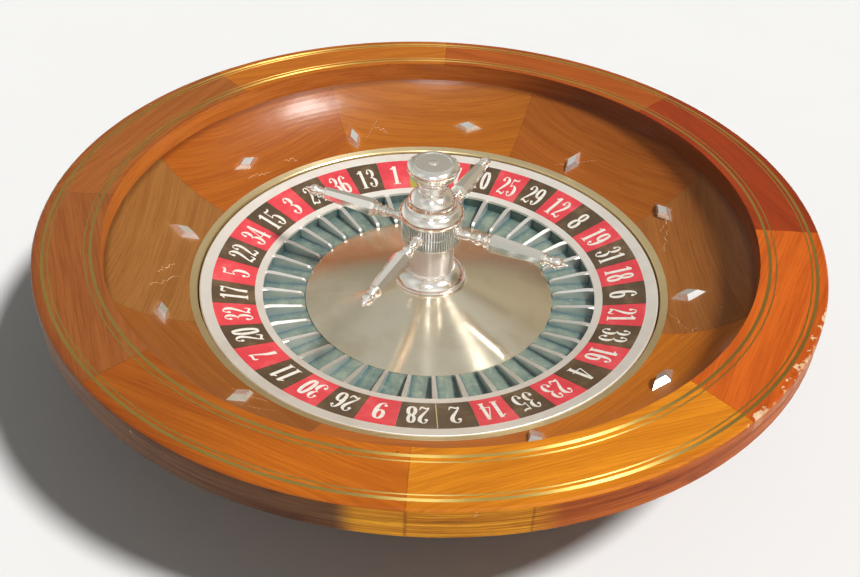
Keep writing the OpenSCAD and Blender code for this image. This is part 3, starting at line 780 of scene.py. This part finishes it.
CRACKS = [  # direction and radius of both ends, in degrees and mm
    (-14.5, 300, -19.0, 272), (-15.5, 291, -12.5, 281), (43.5, 296, 34.5, 268), (38.5, 287, 36.0, 281),
    (74.0, 284, 80.0, 268), (68.0, 306, 73.0, 275), (104.0, 262, 111.0, 286), (110.0, 292, 113.5, 280),
    (256.5, 300, 263.0, 270), (262.0, 292, 266.5, 276), (222.0, 276, 214.0, 262), (216.0, 288, 211.0, 270),
    (312.0, 268, 306.0, 276), (318.0, 276, 321.0, 268),
]
CRACK_SEED = 11
CRACK_STEPS = 14
# How far a crack wanders from its line, in mm along the radius and in degrees round the wheel
CRACK_SWING_MM = 2.6
CRACK_SWING_DEG = 0.32
# Half width of a crack at its ends, and what its middle may add, in mm
CRACK_THIN = 0.14
CRACK_SPREAD = 0.26


def crack_line(rng, a0, r0, a1, r1):
    """A zigzag between two places on the apron: radius, direction and half width of each point."""
    line = []
    wander = 0.0
    for i in range(CRACK_STEPS + 1):
        t = i / CRACK_STEPS
        wander = wander * 0.55 + rng.uniform(-1, 1)
        swing = wander * CRACK_SWING_MM * math.sin(math.pi * min(max(t, 0.08), 0.92))
        r = r0 + (r1 - r0) * t + swing
        a = a0 + (a1 - a0) * t + wander * CRACK_SWING_DEG
        line.append((r, a, CRACK_THIN + CRACK_SPREAD * rng.random() * math.sin(math.pi * t)))
    return line


rng = random.Random(CRACK_SEED)
bm = bmesh.new()
for crack in CRACKS:
    line = crack_line(rng, *crack)
    left = [(r - w, a) for r, a, w in line]
    right = [(r + w, a + math.degrees(w / r)) for r, a, w in line]
    prism(bm, left, right, lambda p: at(p[0], p[1], apron_height(p[0]) - 0.03),
          lambda p: at(p[0], p[1], apron_height(p[0]) + 0.06), False)
pale = ink_material("crack_pale", (0.80, 0.57, 0.35), (0.40, 0.20, 0.09))
piece("varnish_cracks", bm, pale, "bowl")


# ---------------------------------------------------------------- beads around the turret's foot

BEADS = 90
BEAD_R = 0.8
BEAD_RING_R = 26.9
BEAD_RING_Z = RING_Z + 13.7

bm = bmesh.new()
for i in range(BEADS):
    made = bmesh.ops.create_icosphere(bm, subdivisions=2, radius=BEAD_R * MM)
    bmesh.ops.translate(bm, verts=made["verts"], vec=at(BEAD_RING_R, i * 360 / BEADS, BEAD_RING_Z))
piece("foot_beads", bm, turret, "rotor", True)


# ---------------------------------------------------------------- floor, light and camera

def stage_material():
    s = Shader("pale_floor")
    haze = s.noise(s.obj, 6.0, 3.0)
    tone = s.ramp(haze, (0.3, (0.852, 0.862, 0.874)), (0.7, (0.862, 0.872, 0.884)))
    return s.set(color=tone, rough=0.9, spec=0.0)


FLOOR_HALF = 9.0
corners = [(-1, -1), (1, -1), (1, 1), (-1, 1)]
mesh = bpy.data.meshes.new("floor")
mesh.from_pydata([(x * FLOOR_HALF, y * FLOOR_HALF, 0) for x, y in corners], [], [(0, 1, 2, 3)])
mesh.materials.append(stage_material())
floor = new_object("floor", mesh)

# Share of the studio's mirrored brightness that it sheds as light
DIFFUSE_SHARE = 0.33


def studio_world():
    """A soft studio: pale walls of different brightness, which shed less light than they mirror."""
    world = bpy.data.worlds.new("studio")
    world.use_nodes = True
    n = Nodes(world.node_tree)
    ray = n.new("ShaderNodeTexCoord").outputs["Generated"]
    x, y, z = n.xyz(ray)
    tone = n.mix(n.step(z, 0.48, 0.68), (0.20, 0.19, 0.15), (0.50, 0.49, 0.47))
    tone = n.mix(n.step(x, -0.80, -0.20, 1.0, 0.0), tone, (0.72, 0.72, 0.71))
    tone = n.mix(n.step(x, 0.02, 0.50), tone, (0.30, 0.25, 0.17))
    tone = n.mix(n.step(y, -0.80, -0.35, 1.0, 0.0), tone, (0.80, 0.80, 0.79))
    tone = n.mix(n.step(z, 0.65, 0.88), tone, (0.58, 0.59, 0.60))
    # Things in the room, as the broad soft patches that polished metal mirrors
    patches = n.step(n.noise(ray, 1.3, 0.0), 0.36, 0.64)
    tone = n.times(tone, n.mix(patches, (0.78, 0.78, 0.73), (1.32, 1.31, 1.29)))
    path = n.new("ShaderNodeLightPath")
    tone = n.mix(path.outputs["Is Camera Ray"], tone, (0.90, 0.90, 0.90))
    background = n.new("ShaderNodeBackground")
    n.put(tone, background.inputs[0])
    n.put(n.step(path.outputs["Is Diffuse Ray"], 0.0, 1.0, 1.0, DIFFUSE_SHARE), background.inputs[1])
    n.put(background.outputs[0], n.new("ShaderNodeOutputWorld").inputs[0])
    bpy.context.scene.world = world


WHEEL_MIDDLE = Vector((0, 0, 0.12))
LIGHT_FAR = 2.6


def aimed_light(name, kind, turn, lift, colour, **props):
    """A light at a direction clockwise from +Y and a height angle, aimed at the wheel."""
    data = bpy.data.lights.new(name, kind)
    data.color = colour
    for key, value in props.items():
        setattr(data, key, value)
    obj = new_object(name, data)
    a, e = math.radians(turn), math.radians(lift)
    away = Vector((math.sin(a) * math.cos(e), math.cos(a) * math.cos(e), math.sin(e)))
    obj.location = WHEEL_MIDDLE + away * LIGHT_FAR
    obj.rotation_euler = away.to_track_quat("Z", "Y").to_euler()
    return obj


studio_world()
aimed_light("key_right", "SUN", 110, 58, (1.0, 0.98, 0.95), energy=3.35, angle=math.radians(9))
glint = aimed_light("small_front", "AREA", 180, 59, (0.88, 0.92, 1.0), energy=22.0, size=0.3)
glint.visible_diffuse = False

camera_data = bpy.data.cameras.new("camera")
camera_data.lens = 46.14
camera_data.sensor_width = 36.0
camera_data.shift_x = 0.0026
camera_data.clip_start = 0.05
camera = new_object("camera", camera_data)
camera.location = (-0.0013, -0.9640, 0.8331)
camera.rotation_euler = Euler([math.radians(v) for v in (51.676, -1.6444, 1.2994)], "XYZ")
bpy.context.scene.camera = camera
bpy.context.scene.view_settings.view_transform = "Standard"
bpy.context.scene.view_settings.look = "None"
